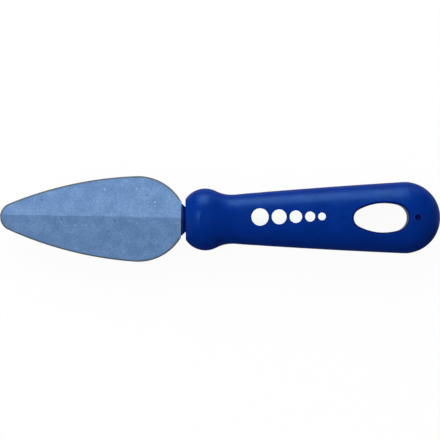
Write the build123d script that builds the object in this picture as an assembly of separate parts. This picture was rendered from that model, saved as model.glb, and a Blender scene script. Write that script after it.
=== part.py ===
from build123d import *
from math import cos, radians, sin, sqrt, tan
import os

# A sharpening stone on a moulded handle, lying flat. Lengths are in millimetres, angles in degrees.
# X runs from the tip of the stone to the end of the handle, and Z is up.
# The stone is drawn with its shoulder on x = 0 and its tip at minus x.
# The handle is drawn with the front face of its bulb on x = 0 and its end at plus x.

# Stone, seen from above
stone_length = 90.45
stone_width = 42.9
stone_tip_r = 7.2
stone_flank_r = 184.0
stone_shoulder_r = 24.85
shoulder_width = 17.95

# Stone, across its section
ridge_height_at_tip = 7.2
ridge_height_at_shoulder = 13.6
facet_slope = 12.0
stone_edge_r = 0.5

# Tang of the stone, and the socket in the handle that holds it
tang_length = 28.0
tang_width = 9.0
tang_height = 7.0
tang_taper = 1.2
tang_clearance = 0.15
socket_end_gap = 0.5

# The stone leans this much in the handle, tip towards plus Y
stone_lean = 1.5

# Handle, seen from above
handle_length = 127.3
bulb_width = 31.0
crest_to_face = 9.85
crest_r = 11.8
waist_width = 24.6
waist_r = 16.9
grip_flank_r = 3200.0
end_width = 35.7

# Handle, across its section
bulb_height = 22.0
end_height = 22.0
section_fullness = 2.35
face_edge_r = 1.2

# The crowns of the bulb and the end are cut flat this deep, on both sides, so that the tool lies still
crown_cut = 0.25

# Collar between the bulb and the stone
collar_length = 2.2
collar_back_width = 12.4
collar_inset = 0.6
collar_corner_r = 1.6
collar_rim_r = 0.3
collar_root = 2.5

# Hanging eye, egg-shaped
eye_length = 27.3
eye_to_end = 16.2
eye_nose_r = 4.65
eye_blunt_r = 6.7
eye_flank_r = 27.7
eye_rim_r = 1.0

# Marks of the mould on the upper side
gate_to_end = 11.6
gate_r = 1.5
gate_depth = 0.8
ejector_to_eye = 5.1
ejector_r = 1.4
ejector_depth = 0.12

# Spacing of the sections that the grip is lofted through, and of the points round each
bulb_pitch = 2.5
grip_pitch = 5.4
end_turn = 13.0
point_turn = 18.0


def meet(first, first_distance, second, second_distance):
    """Point at these distances from two others, on the right of the line between them."""
    line = second - first
    along = (first_distance**2 - second_distance**2 + line.length**2) / (2 * line.length)
    across = sqrt(first_distance**2 - along**2)
    ahead = line.normalized()
    return first + ahead * along + Vector(ahead.Y, -ahead.X) * across


def arc(centre, start, end):
    """Circular arc about a centre, the short way round."""
    radius = (start - centre).length
    middle = (start + end - centre * 2).normalized() * radius
    return ThreePointArc(start, centre + middle, end)


def leaf(nose, nose_r, blunt, blunt_r, flank_r, blunt_end):
    """Upper half of a leaf outline: nose arc, long flank arc and blunt arc, tangent in turn."""
    nose_centre = nose + Vector(nose_r, 0)
    flank_centre = meet(nose_centre, flank_r - nose_r, blunt, flank_r - blunt_r)
    nose_touch = nose_centre + (nose_centre - flank_centre).normalized() * nose_r
    blunt_touch = blunt + (blunt - flank_centre).normalized() * blunt_r
    return [
        arc(nose_centre, nose, nose_touch),
        arc(flank_centre, nose_touch, blunt_touch),
        arc(blunt, blunt_touch, blunt_end),
    ]


def mirrored_face(half_outline):
    """Face inside a half outline and its mirror image, closed by a straight line if it is open."""
    outline = Curve() + half_outline
    outline += mirror(outline, about=Plane.XZ)
    upper = half_outline[-1] @ 1
    if upper.Y > 0:
        outline += Line((upper.X, -upper.Y), (upper.X, upper.Y))
    return make_face(outline)


def shoulder_centre():
    """Centre of the arc that brings the stone in from its widest place to its flat shoulder."""
    across = stone_width / 2 - stone_shoulder_r
    along = sqrt(stone_shoulder_r**2 - (shoulder_width / 2 - across) ** 2)
    return Vector(-along, across)


def stone_outline():
    """Leaf outline of the stone, cut straight at its shoulder."""
    nose = Vector(-stone_length, 0)
    blunt = shoulder_centre()
    shoulder = Vector(0, shoulder_width / 2)
    return mirrored_face(leaf(nose, stone_tip_r, blunt, stone_shoulder_r, stone_flank_r, shoulder))


def facets():
    """Planes of the four facets: two meet in the ridge on each side of the stone."""
    ridge_rise = (ridge_height_at_shoulder - ridge_height_at_tip) / 2 / stone_length
    fall = tan(radians(facet_slope))
    for side in (1, -1):
        ridge_end = (0, 0, side * ridge_height_at_shoulder / 2)
        for edge in (1, -1):
            yield Plane(ridge_end, z_dir=(-ridge_rise, edge * fall, side))


def blade():
    """Working part of the stone: a leaf with a ridge and two flat facets on each side."""
    leaf_body = extrude(stone_outline(), amount=ridge_height_at_shoulder, both=True)
    for facet in facets():
        leaf_body = split(leaf_body, bisect_by=facet, keep=Keep.BOTTOM)
    rims = leaf_body.edges().filter_by(GeomType.LINE, reverse=True)
    return fillet(rims, stone_edge_r)


def bar(length, clearance):
    """The tang, tapered on all four sides, made larger all round by a clearance."""
    narrowing = 2 * length * tan(radians(tang_taper))
    width = tang_width + 2 * clearance
    height = tang_height + 2 * clearance
    root = Plane.YZ * Rectangle(width, height)
    end = Plane.YZ.offset(length) * Rectangle(width - narrowing, height - narrowing)
    return loft([root, end], ruled=True)


def stone():
    """The stone, pressed and fired in one piece with its tang."""
    return blade() + bar(tang_length, 0)


def grip_arcs():
    """Centres of the arcs along the side of the handle: bulb, waist, flank and rounded end."""
    crest = Vector(crest_to_face, bulb_width / 2 - crest_r)
    rise = waist_width / 2 + waist_r - crest.Y
    waist = crest + Vector(sqrt((crest_r + waist_r) ** 2 - rise**2), rise)
    end = Vector(handle_length - end_width / 2, 0)
    flank = meet(waist, grip_flank_r + waist_r, end, grip_flank_r - end_width / 2)
    return crest, waist, flank, end


def half_width(x):
    """Half the width of the handle at a distance from the front face of its bulb."""
    crest, waist, flank, end = grip_arcs()
    end_r = end_width / 2
    if x < (crest + (waist - crest).normalized() * crest_r).X:
        return crest.Y + sqrt(crest_r**2 - (x - crest.X) ** 2)
    if x < (waist + (flank - waist).normalized() * waist_r).X:
        return waist.Y - sqrt(waist_r**2 - (x - waist.X) ** 2)
    if x < (end + (end - flank).normalized() * end_r).X:
        return flank.Y + sqrt(grip_flank_r**2 - (x - flank.X) ** 2)
    return sqrt(end_r**2 - (x - end.X) ** 2)


def half_height(x):
    """Half the height of the uncut handle, a share of its width that changes steadily."""
    crest, waist, flank, end = grip_arcs()
    bulb_share = (bulb_height + 2 * crown_cut) / bulb_width
    end_share = (end_height + 2 * crown_cut) / end_width
    along = min(max((x - crest.X) / (end.X - crest.X), 0), 1)
    return half_width(x) * (bulb_share + (end_share - bulb_share) * along)


def spaced(start, stop, pitch):
    """Evenly spaced values from a start up to, but not at, a stop, about a pitch apart."""
    count = round((stop - start) / pitch)
    return [start + (stop - start) * i / count for i in range(count)]


def oval_point(wide, high, turn):
    """Point on an oval that is fuller than an ellipse, at an angle."""
    ahead = cos(radians(turn))
    up = sin(radians(turn))
    fullness = abs(ahead) ** section_fullness + abs(up) ** section_fullness
    reach = fullness ** (-1 / section_fullness)
    return Vector(wide * ahead * reach, high * up * reach)


def grip_section(x):
    """Oval section of the handle. The same spline parameters are in all, so the loft runs straight."""
    turns = spaced(0, 360, point_turn)
    points = [oval_point(half_width(x), half_height(x), turn) for turn in turns]
    oval = Edge.make_spline(points, periodic=True, parameters=[*turns, 360])
    return Plane.YZ.offset(x) * make_face(oval)


def section_places():
    """Places of the sections along the handle, closer at the bulb and round the end."""
    crest, waist, flank, end = grip_arcs()
    bulb = spaced(0, crest.X, bulb_pitch) + spaced(crest.X, waist.X, bulb_pitch)
    grip = spaced(waist.X, end.X, grip_pitch)
    round_end = [end.X + end_width / 2 * sin(radians(turn)) for turn in spaced(0, 90, end_turn)]
    return bulb + grip + round_end


def grip_body():
    """Bulb, waist, grip and rounded end, lofted through the oval sections to a point."""
    sections = [grip_section(x) for x in section_places()]
    body = loft(sections + [Vertex(handle_length, 0, 0)])
    front_edge = body.faces().sort_by(Axis.X)[0].edges()
    return fillet(front_edge, face_edge_r)


def lying_height():
    """Height of the handle, which it lies on: the bulb's or the end's, whichever is more."""
    return max(bulb_height, end_height)


def slab():
    """Wide flat block, as high as the lying height, whose faces cut the crowns flat."""
    return Box(3 * handle_length, 3 * max(bulb_width, end_width), lying_height())


def stone_place():
    """Place of the stone, and of the collar and socket that it fits, leaning in the handle."""
    return Pos(-collar_length, 0, 0) * Rot(0, 0, -stone_lean)


def collar():
    """Short collar that carries on the outline of the stone, narrowing towards the bulb."""
    ridge = ridge_height_at_shoulder / 2
    side = shoulder_width / 2
    edge = ridge - side * tan(radians(facet_slope))
    corners = [(side, edge), (0, ridge), (-side, edge), (-side, -edge), (0, -ridge), (side, -edge)]
    shoulder = Plane.YZ * Polygon(*corners, align=None)
    front = fillet(offset(shoulder, -collar_inset).vertices(), collar_corner_r)
    narrowing = collar_back_width / (shoulder_width - 2 * collar_inset)
    back = Pos(collar_length, 0, 0) * scale(front, by=narrowing)
    ring = loft([front, back], ruled=True)
    rim = ring.faces().sort_by(Axis.X)[0].edges()
    return fillet(rim, collar_rim_r) + extrude(back, amount=collar_root)


def hanging_eye():
    """Egg-shaped hole through the end of the handle, its pointed end towards the grip."""
    far_end = Vector(handle_length - eye_to_end, 0)
    nose = far_end - Vector(eye_length, 0)
    blunt = far_end - Vector(eye_blunt_r, 0)
    outline = leaf(nose, eye_nose_r, blunt, eye_blunt_r, eye_flank_r, far_end)
    return extrude(mirrored_face(outline), amount=lying_height(), both=True)


def gate_hollow():
    """Small round hollow left by the gate, between the eye and the end of the handle."""
    x = handle_length - gate_to_end
    ball_r = (gate_r**2 + gate_depth**2) / (2 * gate_depth)
    return Pos(x, 0, half_height(x) + ball_r - gate_depth) * Sphere(ball_r)


def ejector_mark():
    """Shallow disc left by an ejector pin, on the grip side of the eye."""
    x = handle_length - eye_to_end - eye_length - ejector_to_eye
    floor = Pos(x, 0, half_height(x) - ejector_depth) * Circle(ejector_r)
    return extrude(floor, amount=lying_height())


def handle():
    """The handle, moulded in one piece with its collar, socket and hanging eye."""
    body = grip_body() - hanging_eye()
    eye_nose_x = handle_length - eye_to_end - eye_length
    rims = body.edges().filter_by(GeomType.BSPLINE)
    body = fillet(rims.filter_by(lambda rim: rim.center().X > eye_nose_x), eye_rim_r)
    body &= slab()
    body += stone_place() * collar()
    body -= stone_place() * bar(tang_length + socket_end_gap, tang_clearance)
    return body - gate_hollow() - ejector_mark()


def tool_place():
    """Place that centres the tool on the origin, seen from above, and lays it on z = 0."""
    lean = radians(stone_lean)
    tip_x = -collar_length - (stone_length - stone_tip_r) * cos(lean) - stone_tip_r
    widest_y = -shoulder_centre().X * sin(lean)
    return Pos(-(handle_length + tip_x) / 2, -widest_y, lying_height() / 2)


os.makedirs("parts", exist_ok=True)
export_step(tool_place() * stone_place() * stone(), "parts/stone.step")
export_step(tool_place() * handle(), "parts/handle.step")
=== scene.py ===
import math
import random

import bmesh
import bpy
import numpy as np
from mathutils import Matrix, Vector, kdtree, noise


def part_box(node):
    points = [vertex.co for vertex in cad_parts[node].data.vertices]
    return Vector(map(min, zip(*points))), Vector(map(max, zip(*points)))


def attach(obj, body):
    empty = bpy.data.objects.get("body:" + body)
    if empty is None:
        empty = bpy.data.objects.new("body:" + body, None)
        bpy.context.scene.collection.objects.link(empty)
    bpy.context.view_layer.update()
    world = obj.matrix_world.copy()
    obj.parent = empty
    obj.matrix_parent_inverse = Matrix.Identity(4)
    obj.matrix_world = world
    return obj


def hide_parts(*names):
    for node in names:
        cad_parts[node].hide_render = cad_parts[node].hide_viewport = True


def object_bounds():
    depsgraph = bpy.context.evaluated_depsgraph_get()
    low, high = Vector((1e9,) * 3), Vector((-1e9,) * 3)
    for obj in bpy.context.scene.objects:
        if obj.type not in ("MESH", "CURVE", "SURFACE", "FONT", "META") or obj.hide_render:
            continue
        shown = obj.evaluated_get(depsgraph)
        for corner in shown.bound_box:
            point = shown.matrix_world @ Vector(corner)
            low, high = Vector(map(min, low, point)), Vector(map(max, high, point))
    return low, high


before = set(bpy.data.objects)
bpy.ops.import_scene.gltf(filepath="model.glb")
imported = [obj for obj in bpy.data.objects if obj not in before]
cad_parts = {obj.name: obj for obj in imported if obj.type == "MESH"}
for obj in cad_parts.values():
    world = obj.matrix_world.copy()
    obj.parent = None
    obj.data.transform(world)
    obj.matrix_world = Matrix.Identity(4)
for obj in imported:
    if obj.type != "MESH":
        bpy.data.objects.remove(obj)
cad_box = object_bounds()

# Lengths are in metres. X runs from the tip of the stone to the end of the handle, and Z is up.
MM = 0.001
MIDDLE_Z = (cad_box[0].z + cad_box[1].z) / 2
HANDLE_AXIS_Y = -0.564 * MM
SHOULDER_X = -19.54 * MM

# Camera, straight above the tool. Its roll is in degrees, and its sensor in millimetres.
IMAGE_SIDE = 440
METRES_PER_PIXEL = 0.5 * MM
CAMERA_HEIGHT = 1.8
CAMERA_X = -0.14 * MM
CAMERA_Y = -0.90 * MM
CAMERA_ROLL = 0.517
CAMERA_RANGE = (0.01, 100.0)
SENSOR_WIDTH = 36.0

# Colours, as red, green and blue from 0 to 255
STONE_COLOUR = (103, 138, 187)
STONE_LIGHT_COLOUR = (117, 152, 201)
STONE_DARK_COLOUR = (81, 113, 163)
GRAIN_COLOUR = (148, 178, 223)
# Painted shade in the stone's pits
PIT_SHADE_COLOUR = (58, 88, 138)
# Painted shade along the rounded rim of the stone
RIM_SHADE_COLOUR = (86, 97, 113)
HANDLE_COLOUR = (0, 43, 134)
# Dark blue of the handle's random clouds, and of its painted shade
HANDLE_CLOUD_AND_SHADE_COLOUR = (0, 10, 80)
# Painted highlight on the ring round the gate's hollow
GATE_RING_HIGHLIGHT_COLOUR = (38, 48, 140)
# Painted highlight round the collar's rim
COLLAR_RIM_HIGHLIGHT_COLOUR = (44, 62, 120)
PRINT_COLOUR = (253, 254, 255)

# Colours of the light and of the handle's gloss, linear
WHITE = (1.0, 1.0, 1.0, 1.0)
LAMP_COLOUR = (1.0, 0.98, 0.87)
SKY_COLOUR = (0.86, 0.96, 1.08, 1.0)
HANDLE_GLOSS_COLOUR = (0.2, 0.53, 1.0, 1.0)

# Strength of the light from all round, as it falls on the tool and as the tool's gloss mirrors it
SKY_STRENGTH = 0.38
SKY_MIRRORED = 0.08

# Lamps: name, azimuth, zenith, distance, width, height, share of the light, and whether gloss
# mirrors it. Azimuth 0 is plus X and 90 is plus Y, in degrees. The share is how much of the light
# on an upward surface it gives, where 1 shows a colour as it is written.
LAMPS = (
    ("key", 98, 57, 1.2, 0.75, 0.7, 0.45, True),
    ("left", 165, 26, 2.6, 0.5, 0.5, 0.13, True),
    ("back", 85, 80, 1.6, 2.0, 0.6, 0.04, True),
    ("side", 195, 74, 1.8, 1.4, 1.0, 0.09, False),
)

# Floor: the share of its white that a shadow can darken, and how strongly gloss mirrors it, away
# from the key lamp and towards it, with the two Y between which that changes
FLOOR_SIZE = 8.0
FLOOR_MATTE_SHARE = 0.05
# Painted light: to gloss the floor glows brighter on the key lamp's side than on the shaded side
FLOOR_MIRRORED = (0.03, 0.3)
FLOOR_MIRRORED_Y = (-14 * MM, -6 * MM)

# Middle part of a noise's values, which a ramp spreads out. The rest is cut off.
NOISE_MIDDLE = (0.3, 0.7)
CLOUD_MIDDLE = (0.35, 0.65)

# Look of the stone. Noises are in features per metre, and a bump is its strength and its depth.
STONE_CLOUDS = 160.0
STONE_GRAIN = 1150.0
STONE_GRIT = 3200.0
STONE_GRAIN_SHADE = 0.6
STONE_ROUGHNESS = (0.82, 0.95)
STONE_SPECULAR = 0.3
STONE_BUMP = (0.2, 0.04 * MM)

# Look of the handle's plastic, which is dull where its painted shade is deep
HANDLE_CLOUDS = 130.0
HANDLE_CLOUD_SHADE = 0.2
HANDLE_SHEEN = 300.0
HANDLE_SPARK = 2600.0
HANDLE_SPARK_HEIGHT = 0.35
HANDLE_ROUGHNESS = (0.28, 0.38)
HANDLE_SPECULAR = 0.27
HANDLE_BUMP = (0.5, 0.02 * MM)
DULL_SHADE = (0.4, 0.8)
DULL_ROUGHNESS = 0.9

# Look of the printed ink
INK_SPOTS = 900.0
INK_SPOT_SHARE = 0.05
INK_ROUGHNESS = 0.6
INK_BUMP = (0.3, 0.01 * MM)

# Skin of the stone: spacing of its points, its grain, the painted shade along its rim, and how far
# its ridge lies to plus Y of the middle of its outline, which is read at even steps
STONE_STEP = 0.35 * MM
GRAIN_END_X = SHOULDER_X - 0.1 * MM
GRAIN_DEPTH = 0.022 * MM
GRAIN_COARSE = 900.0
GRAIN_FINE = 2100.0
GRAIN_FINE_SHARE = 0.6
RIM_SHADE_WIDTH = 0.9 * MM
RIM_CONTRAST = 1.4
RIDGE_SHIFT = 1.0 * MM
RIDGE_SHIFT_END_X = SHOULDER_X + 0.3 * MM
OUTLINE_START = 0.2 * MM
OUTLINE_STEP = 0.5 * MM

# Points nearer than WELD become one. A point whose normal has less Z than FACET_NORMAL_Z is on the
# rim of the stone. An edge sharper than SHARP_ANGLE stays sharp.
WELD = 0.001 * MM
FACET_NORMAL_Z = 0.9
SHARP_ANGLE = math.radians(40)

# Random specks of the stone, with radii and depths in millimetres. A light grain has no depth,
# and a pit is darkened with painted shade.
SPECK_SEED = 5
SPECK_COUNT = 520
SPECK_END_X = SHOULDER_X - 1.0 * MM
SPECK_RADIUS = (0.22, 0.42)
SPECK_DEPTHS = (0.0, 0.06, 0.1)
SPECK_TONE = (0.12, 0.5)

# The specks that stand out, as X, Y, radius and depth in millimetres
CLEAR_SPECKS = (
    (-57.6, 15.0, 0.45, 0.0),
    (-41.6, 15.0, 0.5, 0.0),
    (-32.6, 8.4, 0.45, 0.0),
    (-72.6, -2.8, 0.45, 0.0),
    (-75.1, -6.3, 0.4, 0.0),
    (-41.6, -2.3, 0.4, 0.0),
    (-89.1, 10.0, 0.5, 0.12),
    (-79.1, 0.3, 0.5, 0.12),
    (-52.6, -0.7, 0.5, 0.14),
    (-36.6, 11.8, 0.45, 0.12),
    (-33.0, 9.1, 0.45, 0.12),
    (-55.6, -6.0, 0.4, 0.1),
)

# Row of dots printed on the handle, from large to small, as X and diameter in millimetres
PRINT_DOTS = ((19.8, 8.6), (29.3, 7.4), (37.6, 6.2), (44.7, 5.0), (50.6, 3.8))
PRINT_Y = 0.4 * MM
PRINT_THICKNESS = 0.04 * MM
PRINT_SINK = 0.02 * MM
DOT_SPOKES = 64
DOT_RINGS = 8

# Gate's hollow, darkened with painted shade, and where the painted highlight of the ring round it
# starts, is strongest and ends, in radii of the gate
GATE_X = 98.36 * MM
GATE_RADIUS = 1.5 * MM
GATE_EDGE = 1.2
GATE_RING = (1.15, 1.4, 1.7)
GATE_RING_SHARE = 0.7

# Hanging eye, and the painted shade on its rim. Its rim is where the normal turns to the eye's
# middle and isn't quite level.
EYE_MIDDLE_X = 80.1 * MM
EYE_HALF_LENGTH = 15.5 * MM
EYE_HALF_WIDTH = 9.0 * MM
EYE_SHADE = 0.85
EYE_RIM_FACING = (-0.3, -0.05)
EYE_RIM_SLANT = (0.05, 0.3)

# Collar, darkened with painted shade, the painted highlight round its rim, and the witness line of
# the mould
COLLAR_END_X = -17.4 * MM
COLLAR_BLUR = 0.2 * MM
COLLAR_SHADE = 0.6
COLLAR_RIM_X = -18.8 * MM
COLLAR_RIM_EDGE = (0.1 * MM, 0.35 * MM)
PARTING_WIDTH = 0.12 * MM


def linear(colour):
    """Scene-linear RGBA of an sRGB colour."""
    channels = [channel / 255 for channel in colour]
    return (*[c / 12.92 if c <= 0.04045 else ((c + 0.055) / 1.055) ** 2.4 for c in channels], 1.0)


class Nodes:
    """New shader nodes of a material or the world, with short ways to add and link them."""

    def __init__(self, owner, output="OutputMaterial"):
        self.owner = owner
        owner.use_nodes = True
        self.tree = owner.node_tree
        self.tree.nodes.clear()
        self.output = self.node(output)

    def plug(self, socket, value):
        """Sets a socket to a number or colour, or links it to another node's socket."""
        if isinstance(value, bpy.types.NodeSocket):
            self.tree.links.new(value, socket)
        else:
            socket.default_value = value

    def node(self, kind, settings=(), **inputs):
        """Adds a node. An underscore in the name of an input stands for a space."""
        node = self.tree.nodes.new("ShaderNode" + kind)
        for name, value in dict(settings).items():
            setattr(node, name, value)
        for name, value in inputs.items():
            self.plug(node.inputs[name.replace("_", " ")], value)
        return node

    def math(self, operation, first, second=0.0):
        """Result of a sum or comparison on numbers."""
        node = self.node("Math", {"operation": operation})
        self.plug(node.inputs[0], first)
        self.plug(node.inputs[1], second)
        return node.outputs[0]

    def vector(self, operation, first, second=(0.0, 0.0, 0.0)):
        """Result of a sum on vectors, which is a number for a length or a dot product."""
        node = self.node("VectorMath", {"operation": operation})
        self.plug(node.inputs[0], first)
        self.plug(node.inputs[1], second)
        return node.outputs["Value" if operation in ("LENGTH", "DOT_PRODUCT") else "Vector"]

    def split(self, vector):
        """The X, Y and Z of a vector."""
        return self.node("SeparateXYZ", Vector=vector).outputs

    def away(self, value, middle):
        """How far a value is from a middle, on either side of it."""
        return self.math("ABSOLUTE", self.math("SUBTRACT", value, middle))

    def ramp(self, value, start, stop, low=0.0, high=1.0):
        """Goes smoothly from low to high while the value goes from start to stop."""
        ends = {"From_Min": start, "From_Max": stop, "To_Min": low, "To_Max": high}
        node = self.node("MapRange", {"interpolation_type": "SMOOTHSTEP"}, Value=value, **ends)
        return node.outputs["Result"]

    def mix(self, share, first, second):
        """Mixes two colours, where a share of 1 is all of the second."""
        node = self.node("Mix", {"data_type": "RGBA"})
        self.plug(node.inputs[0], share)
        self.plug(node.inputs[6], first)
        self.plug(node.inputs[7], second)
        return node.outputs[2]

    def place(self):
        """Place on the piece, in metres."""
        return self.node("TexCoord").outputs["Object"]

    def noise(self, place, scale, detail=2.0, roughness=0.5):
        """Noise from 0 to 1, with a scale in features per metre."""
        node = self.node("TexNoise", Vector=place, Scale=scale, Detail=detail, Roughness=roughness)
        return node.outputs["Fac"]

    def attribute(self, name):
        """A value that the mesh has on its points."""
        return self.node("Attribute", {"attribute_name": name}).outputs["Fac"]

    def bump(self, height, strength, distance):
        """Normal of the surface with the height on it."""
        node = self.node("Bump", Height=height, Strength=strength, Distance=distance)
        return node.outputs["Normal"]

    def finish(self, shader):
        """Links the shader to the output, and returns the material or the world."""
        self.plug(self.output.inputs["Surface"], shader.outputs[0])
        return self.owner


def stone_material():
    """Matte bonded abrasive, with fine grain and light grains, and painted shade in its pits and
    along its rim.
    """
    s = Nodes(bpy.data.materials.new("stone"))
    place = s.place()
    clouds = s.ramp(s.noise(place, STONE_CLOUDS, detail=3.0), *CLOUD_MIDDLE)
    grain = s.ramp(s.noise(place, STONE_GRAIN, detail=3.0, roughness=0.7), *NOISE_MIDDLE)
    dark = s.math("MULTIPLY", grain, STONE_GRAIN_SHADE)
    colour = s.mix(clouds, linear(STONE_COLOUR), linear(STONE_LIGHT_COLOUR))
    colour = s.mix(dark, colour, linear(STONE_DARK_COLOUR))
    colour = s.mix(s.attribute("light"), colour, linear(GRAIN_COLOUR))
    # Painted shade in the pits
    colour = s.mix(s.attribute("pit_shade"), colour, linear(PIT_SHADE_COLOUR))
    # Painted shade along the stone's rim
    colour = s.mix(s.attribute("rim_shade"), colour, linear(RIM_SHADE_COLOUR))
    normal = s.bump(s.noise(place, STONE_GRIT, roughness=0.6), *STONE_BUMP)
    rough = s.ramp(grain, 0.0, 1.0, *STONE_ROUGHNESS)
    shader = s.node("BsdfPrincipled", Base_Color=colour, Roughness=rough, Normal=normal)
    shader.inputs["Specular IOR Level"].default_value = STONE_SPECULAR
    return s.finish(shader)


def gate_masks(s, place):
    """Masks of the painted shade in the gate's hollow in the upper side, and of the painted
    highlight on the faint ring round it.
    """
    away = s.vector("SUBTRACT", place, (GATE_X, HANDLE_AXIS_Y, 0.0))
    away = s.vector("LENGTH", s.vector("MULTIPLY", away, (1.0, 1.0, 0.0)))
    upper = s.math("GREATER_THAN", s.split(place)["Z"], MIDDLE_Z)
    hollow_shade = s.ramp(away, GATE_RADIUS, GATE_RADIUS * GATE_EDGE, low=1.0, high=0.0)
    start, crest, end = [GATE_RADIUS * factor for factor in GATE_RING]
    inner = s.ramp(away, start, crest, low=0.0, high=GATE_RING_SHARE)
    outer = s.ramp(away, crest, end, low=1.0, high=0.0)
    ring = s.math("MULTIPLY", inner, outer)
    return s.math("MULTIPLY", hollow_shade, upper), s.math("MULTIPLY", ring, upper)


def eye_mask(s, place, normal):
    """Mask of painted shade: 1 on the round rim of the hanging eye, which faces its middle, and 0
    elsewhere.
    """
    scale = (1 / EYE_HALF_LENGTH, 1 / EYE_HALF_WIDTH, 0.0)
    away = s.vector("SUBTRACT", place, (EYE_MIDDLE_X, HANDLE_AXIS_Y, 0.0))
    away = s.vector("MULTIPLY", away, scale)
    near = s.math("LESS_THAN", s.vector("LENGTH", away), 1.0)
    outward = s.vector("NORMALIZE", s.vector("MULTIPLY", away, scale))
    facing = s.vector("DOT_PRODUCT", outward, normal)
    facing = s.ramp(facing, *EYE_RIM_FACING, low=1.0, high=0.0)
    slant = s.ramp(s.math("ABSOLUTE", s.split(normal)["Z"]), *EYE_RIM_SLANT)
    return s.math("MULTIPLY", near, s.math("MULTIPLY", facing, slant))


def collar_masks(s, x):
    """Masks of the painted shade on the collar, and of the painted highlight round its rim."""
    start, end = COLLAR_END_X - COLLAR_BLUR, COLLAR_END_X + COLLAR_BLUR
    shaded = s.ramp(x, start, end, low=COLLAR_SHADE, high=0.0)
    return shaded, s.ramp(s.away(x, COLLAR_RIM_X), *COLLAR_RIM_EDGE, low=1.0, high=0.0)


def handle_material():
    """Satin moulded plastic with fine spark grain and a witness line where the mould parts,
    painted shade in the gate's hollow, on the collar and on the eye's rim, and painted highlights
    on the gate's ring and the collar's rim.
    """
    s = Nodes(bpy.data.materials.new("handle"))
    place = s.place()
    hollow_shade, ring = gate_masks(s, place)
    # Painted shade on the eye's rim
    eye_rim_shade = s.math("MULTIPLY", eye_mask(s, place, s.node("TexCoord").outputs["Normal"]), EYE_SHADE)
    collar_shade, collar_rim_highlight = collar_masks(s, s.split(place)["X"])
    # Painted shade in the gate's hollow, on the collar and on the eye's rim
    painted_shade = s.math("MAXIMUM", s.math("MAXIMUM", hollow_shade, collar_shade), eye_rim_shade)
    clouds = s.noise(place, HANDLE_CLOUDS)
    clouds = s.ramp(clouds, *NOISE_MIDDLE, low=0.0, high=HANDLE_CLOUD_SHADE)
    # Painted highlight on the ring round the gate
    colour = s.mix(ring, linear(HANDLE_COLOUR), linear(GATE_RING_HIGHLIGHT_COLOUR))
    # Darker in the handle's random clouds and in its painted shade
    colour = s.mix(s.math("MAXIMUM", clouds, painted_shade), colour, linear(HANDLE_CLOUD_AND_SHADE_COLOUR))
    # Painted highlight round the collar's rim
    colour = s.mix(collar_rim_highlight, colour, linear(COLLAR_RIM_HIGHLIGHT_COLOUR))
    line = s.ramp(s.away(s.split(place)["Z"], MIDDLE_Z), 0.0, PARTING_WIDTH)
    spark = s.math("MULTIPLY", s.noise(place, HANDLE_SPARK, roughness=0.6), HANDLE_SPARK_HEIGHT)
    normal = s.bump(s.math("ADD", spark, line), *HANDLE_BUMP)
    rough = s.ramp(s.noise(place, HANDLE_SHEEN, detail=3.0), *NOISE_MIDDLE, *HANDLE_ROUGHNESS)
    dull = s.ramp(painted_shade, *DULL_SHADE, low=0.0, high=DULL_ROUGHNESS)
    rough = s.math("MAXIMUM", rough, dull)
    shader = s.node("BsdfPrincipled", Base_Color=colour, Roughness=rough, Normal=normal)
    shader.inputs["Specular IOR Level"].default_value = HANDLE_SPECULAR
    shader.inputs["Specular Tint"].default_value = HANDLE_GLOSS_COLOUR
    return s.finish(shader)


def print_material():
    """Thin white ink, a little uneven."""
    s = Nodes(bpy.data.materials.new("print"))
    place = s.place()
    spots = s.noise(place, INK_SPOTS, detail=3.0)
    spots = s.ramp(spots, *NOISE_MIDDLE, low=0.0, high=INK_SPOT_SHARE)
    colour = s.mix(spots, linear(PRINT_COLOUR), linear(HANDLE_COLOUR))
    normal = s.bump(s.noise(place, HANDLE_SPARK), *INK_BUMP)
    shader = s.node("BsdfPrincipled", Base_Color=colour, Roughness=INK_ROUGHNESS, Normal=normal)
    return s.finish(shader)


def floor_material():
    """Pale floor that shows white to the camera, apart from a shadow on it, and dim to gloss, with
    painted light that makes it brighter to gloss on the key lamp's side.
    """
    s = Nodes(bpy.data.materials.new("floor"))
    grey = (FLOOR_MATTE_SHARE, FLOOR_MATTE_SHARE, FLOOR_MATTE_SHARE, 1.0)
    matte = s.node("BsdfDiffuse", Color=grey)
    rays = s.node("LightPath").outputs
    # Painted light: brighter to gloss towards the key lamp
    mirrored = s.ramp(s.split(s.place())["Y"], *FLOOR_MIRRORED_Y, *FLOOR_MIRRORED)
    mirrored = s.math("MULTIPLY", rays["Is Glossy Ray"], mirrored)
    seen = s.math("MAXIMUM", rays["Is Camera Ray"], mirrored)
    seen = s.math("MAXIMUM", seen, rays["Is Transmission Ray"])
    level = s.math("MULTIPLY", seen, 1.0 - FLOOR_MATTE_SHARE)
    glow = s.node("Emission", Color=WHITE, Strength=level)
    both = s.node("AddShader")
    s.plug(both.inputs[0], matte.outputs[0])
    s.plug(both.inputs[1], glow.outputs[0])
    return s.finish(both)


def add_piece(name, shape, material):
    """Makes a piece of a finished bmesh, smooth apart from its sharp edges."""
    mesh = bpy.data.meshes.new(name)
    shape.to_mesh(mesh)
    shape.free()
    for attribute in ("custom_normal", "sharp_edge", "sharp_face"):
        if attribute in mesh.attributes:
            mesh.attributes.remove(mesh.attributes[attribute])
    mesh.shade_smooth()
    mesh.set_sharp_from_angle(angle=SHARP_ANGLE)
    mesh.materials.append(material)
    piece = bpy.data.objects.new(name, mesh)
    bpy.context.scene.collection.objects.link(piece)
    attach(piece, "root")
    return piece


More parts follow.
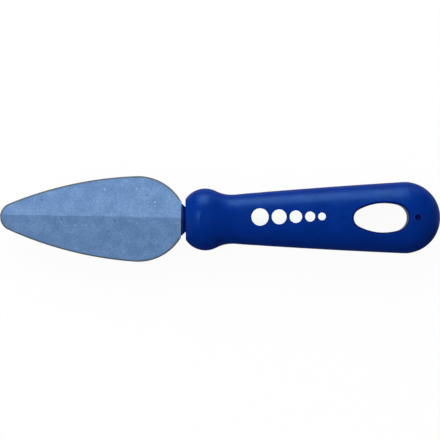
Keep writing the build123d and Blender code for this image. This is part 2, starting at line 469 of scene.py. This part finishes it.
def cut_across(shape, axis, stop):
    """Cuts the shape by evenly spaced planes, up to the place where it stops."""
    normal = Vector([float(i == axis) for i in range(3)])
    place = min(vert.co[axis] for vert in shape.verts) + STONE_STEP / 2
    while place < stop:
        geometry = shape.verts[:] + shape.edges[:] + shape.faces[:]
        bmesh.ops.bisect_plane(shape, geom=geometry, plane_co=normal * place, plane_no=normal)
        place += STONE_STEP


def shift_ridge(shape):
    """Moves the ridges a little to plus Y between the outlines, which stay where they are."""
    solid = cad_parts["stone"]
    tip_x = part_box("stone")[0].x
    places = np.arange(tip_x + OUTLINE_START, SHOULDER_X, OUTLINE_STEP)
    sides = []
    for place in places:
        _, plus, _, _ = solid.ray_cast(Vector((place, 1.0, MIDDLE_Z)), Vector((0, -1, 0)))
        _, minus, _, _ = solid.ray_cast(Vector((place, -1.0, MIDDLE_Z)), Vector((0, 1, 0)))
        sides.append((minus.y, plus.y))
    minus, plus = np.array(sides).T
    for vert in shape.verts:
        if vert.co.x < RIDGE_SHIFT_END_X:
            middle = np.interp(vert.co.x, places, (plus + minus) / 2)
            half = np.interp(vert.co.x, places, (plus - minus) / 2)
            vert.co.y += RIDGE_SHIFT * max(0.0, 1.0 - abs(vert.co.y - middle) / half)


def point_tree(points):
    """Tree that finds the points near a place, by their order in the list."""
    tree = kdtree.KDTree(len(points))
    for index, point in enumerate(points):
        tree.insert(point, index)
    tree.balance()
    return tree


def mark_rim_shade(shape):
    """Marks the painted shade, a darker line that runs round the rounded edge of the stone."""
    rim_shade = shape.verts.layers.float.new("rim_shade")
    verts = [vert for vert in shape.verts if vert.co.x < SHOULDER_X - RIM_SHADE_WIDTH]
    tree = point_tree([vert.co for vert in verts if abs(vert.normal.z) < FACET_NORMAL_Z])
    for vert in verts:
        _, _, away = tree.find(vert.co)
        vert[rim_shade] = min(1.0, max(0.0, RIM_CONTRAST * (1.0 - away / RIM_SHADE_WIDTH)))


def clear_specks():
    """The specks that stand out, which are all on the upper side."""
    return [(x * MM, y * MM, True, r * MM, depth * MM, 1.0) for x, y, r, depth in CLEAR_SPECKS]


def random_specks():
    """Small pits and light grains all over the stone, above and below."""
    chance = random.Random(SPECK_SEED)
    low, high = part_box("stone")
    specks = []
    for _ in range(SPECK_COUNT):
        place = [chance.uniform(a, b) for a, b in zip(low, high)]
        radius = chance.uniform(*SPECK_RADIUS) * MM
        depth = chance.choice(SPECK_DEPTHS) * MM
        tone = chance.uniform(*SPECK_TONE)
        specks.append((place[0], place[1], chance.random() < 0.5, radius, depth, tone))
    return specks


def mark_specks(shape):
    """Sinks the pits into the stone and marks their painted shade and the light grains on its
    points.
    """
    light = shape.verts.layers.float.new("light")
    pit_shade = shape.verts.layers.float.new("pit_shade")
    verts = [vert for vert in shape.verts if vert.co.x < SPECK_END_X]
    tree = point_tree([(vert.co.x, vert.co.y, 0.0) for vert in verts])
    for x, y, upper, radius, depth, tone in clear_specks() + random_specks():
        layer = pit_shade if depth else light
        for _, index, away in tree.find_range((x, y, 0.0), radius):
            vert = verts[index]
            if (vert.co.z > MIDDLE_Z) == upper and abs(vert.normal.z) > FACET_NORMAL_Z:
                share = (1 - (away / radius) ** 2) ** 0.5
                vert[layer] = max(vert[layer], share * tone)
                vert.co -= vert.normal * depth * share


def roughen(shape):
    """Sinks each point in front of the shoulder by anything up to the depth of the grain."""
    for vert in shape.verts:
        if vert.co.x > GRAIN_END_X:
            continue
        rise = noise.noise(vert.co * GRAIN_COARSE)
        rise += GRAIN_FINE_SHARE * noise.noise(vert.co * GRAIN_FINE)
        vert.co -= vert.normal * GRAIN_DEPTH * (0.5 + 0.5 * max(-1.0, min(1.0, rise)))


def dress_stone():
    """The stone's own form, divided finely enough to carry its grain, pits and the painted shade
    along its rim.
    """
    shape = bmesh.new()
    shape.from_mesh(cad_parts["stone"].data)
    bmesh.ops.remove_doubles(shape, verts=shape.verts, dist=WELD)
    cut_across(shape, 1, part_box("stone")[1].y)
    cut_across(shape, 0, SHOULDER_X)
    bmesh.ops.dissolve_degenerate(shape, dist=WELD, edges=shape.edges)
    shift_ridge(shape)
    shape.normal_update()
    mark_rim_shade(shape)
    mark_specks(shape)
    roughen(shape)
    skin = add_piece("stone_skin", shape, stone_material())
    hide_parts("stone")


def dress_handle():
    """The handle keeps its CAD mesh and gets the look of moulded plastic."""
    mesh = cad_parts["handle"].data
    mesh.materials.clear()
    mesh.materials.append(handle_material())


def on_top(x, y, above):
    """Point of the handle's upper surface, moved up a little."""
    start = Vector((x, y, 1.0))
    found, point, _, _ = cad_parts["handle"].ray_cast(start, Vector((0, 0, -1)))
    if not found:
        raise ValueError("the print doesn't lie on the handle")
    return point + Vector((0.0, 0.0, above))


def add_dot(shape, x, diameter):
    """Thin round patch that follows the surface of the handle, sunk into it a little."""
    turns = [2 * math.pi * step / DOT_SPOKES for step in range(DOT_SPOKES)]
    centre = shape.verts.new(on_top(x, PRINT_Y, PRINT_THICKNESS))
    rings = []
    for ring in range(1, DOT_RINGS + 1):
        reach = diameter / 2 * ring / DOT_RINGS
        places = [(x + reach * math.cos(turn), PRINT_Y + reach * math.sin(turn)) for turn in turns]
        rings.append([shape.verts.new(on_top(*place, PRINT_THICKNESS)) for place in places])
    down = Vector((0.0, 0.0, PRINT_THICKNESS + PRINT_SINK))
    rings.append([shape.verts.new(vert.co - down) for vert in rings[-1]])
    bottom = shape.verts.new(on_top(x, PRINT_Y, -PRINT_SINK))
    for step in range(DOT_SPOKES):
        after = (step + 1) % DOT_SPOKES
        shape.faces.new((centre, rings[0][step], rings[0][after]))
        shape.faces.new((bottom, rings[-1][after], rings[-1][step]))
        for inner, outer in zip(rings, rings[1:]):
            shape.faces.new((inner[step], outer[step], outer[after], inner[after]))


def add_print():
    """The row of printed dots, as one piece."""
    shape = bmesh.new()
    for x, diameter in PRINT_DOTS:
        add_dot(shape, x * MM, diameter * MM)
    add_piece("print_dots", shape, print_material())


def add_floor():
    """Wide floor that the tool lies on."""
    bpy.ops.mesh.primitive_plane_add(size=FLOOR_SIZE)
    floor = bpy.context.object
    floor.name = "floor"
    floor.data.materials.append(floor_material())


def add_world():
    """White behind the tool, and a weaker even light on it. Its gloss mirrors a dim studio."""
    s = Nodes(bpy.data.worlds.new("studio"), "OutputWorld")
    rays = s.node("LightPath").outputs
    levels = {"To_Min": SKY_STRENGTH, "To_Max": SKY_MIRRORED}
    level = s.node("MapRange", Value=rays["Is Glossy Ray"], **levels).outputs["Result"]
    sky = s.node("Background", Color=SKY_COLOUR, Strength=level)
    white = s.node("Background", Color=WHITE)
    both = s.node("MixShader")
    s.plug(both.inputs[0], s.math("MAXIMUM", rays["Is Camera Ray"], rays["Is Transmission Ray"]))
    s.plug(both.inputs[1], sky.outputs[0])
    s.plug(both.inputs[2], white.outputs[0])
    bpy.context.scene.world = s.finish(both)


def add_lamp(name, azimuth, zenith, distance, width, height, share, mirrored):
    """Soft rectangular lamp that faces the tool."""
    a = math.radians(azimuth)
    z = math.radians(zenith)
    data = bpy.data.lights.new(name, "AREA")
    data.shape = "RECTANGLE"
    data.size = width
    data.size_y = height
    data.energy = share * (math.pi * distance) ** 2 / math.cos(z)
    data.color = LAMP_COLOUR
    lamp = bpy.data.objects.new(name, data)
    bpy.context.scene.collection.objects.link(lamp)
    way = Vector((math.cos(a) * math.sin(z), math.sin(a) * math.sin(z), math.cos(z)))
    lamp.location = way * distance
    lamp.rotation_mode = "QUATERNION"
    lamp.rotation_quaternion = (-way).to_track_quat("-Z", "Y")
    lamp.visible_glossy = mirrored


def add_camera():
    """Camera whose frame holds the photograph's pixels at the height of the tool's middle."""
    data = bpy.data.cameras.new("camera")
    data.sensor_width = SENSOR_WIDTH
    data.lens = SENSOR_WIDTH * CAMERA_HEIGHT / (IMAGE_SIDE * METRES_PER_PIXEL)
    data.clip_start, data.clip_end = CAMERA_RANGE
    camera = bpy.data.objects.new("camera", data)
    camera.location = (CAMERA_X, CAMERA_Y, MIDDLE_Z + CAMERA_HEIGHT)
    camera.rotation_euler = (0.0, 0.0, -math.radians(CAMERA_ROLL))
    bpy.context.scene.collection.objects.link(camera)
    bpy.context.scene.camera = camera


dress_stone()
dress_handle()
add_print()
add_floor()
add_world()
for lamp in LAMPS:
    add_lamp(*lamp)
add_camera()
bpy.context.scene.view_settings.view_transform = "Standard"
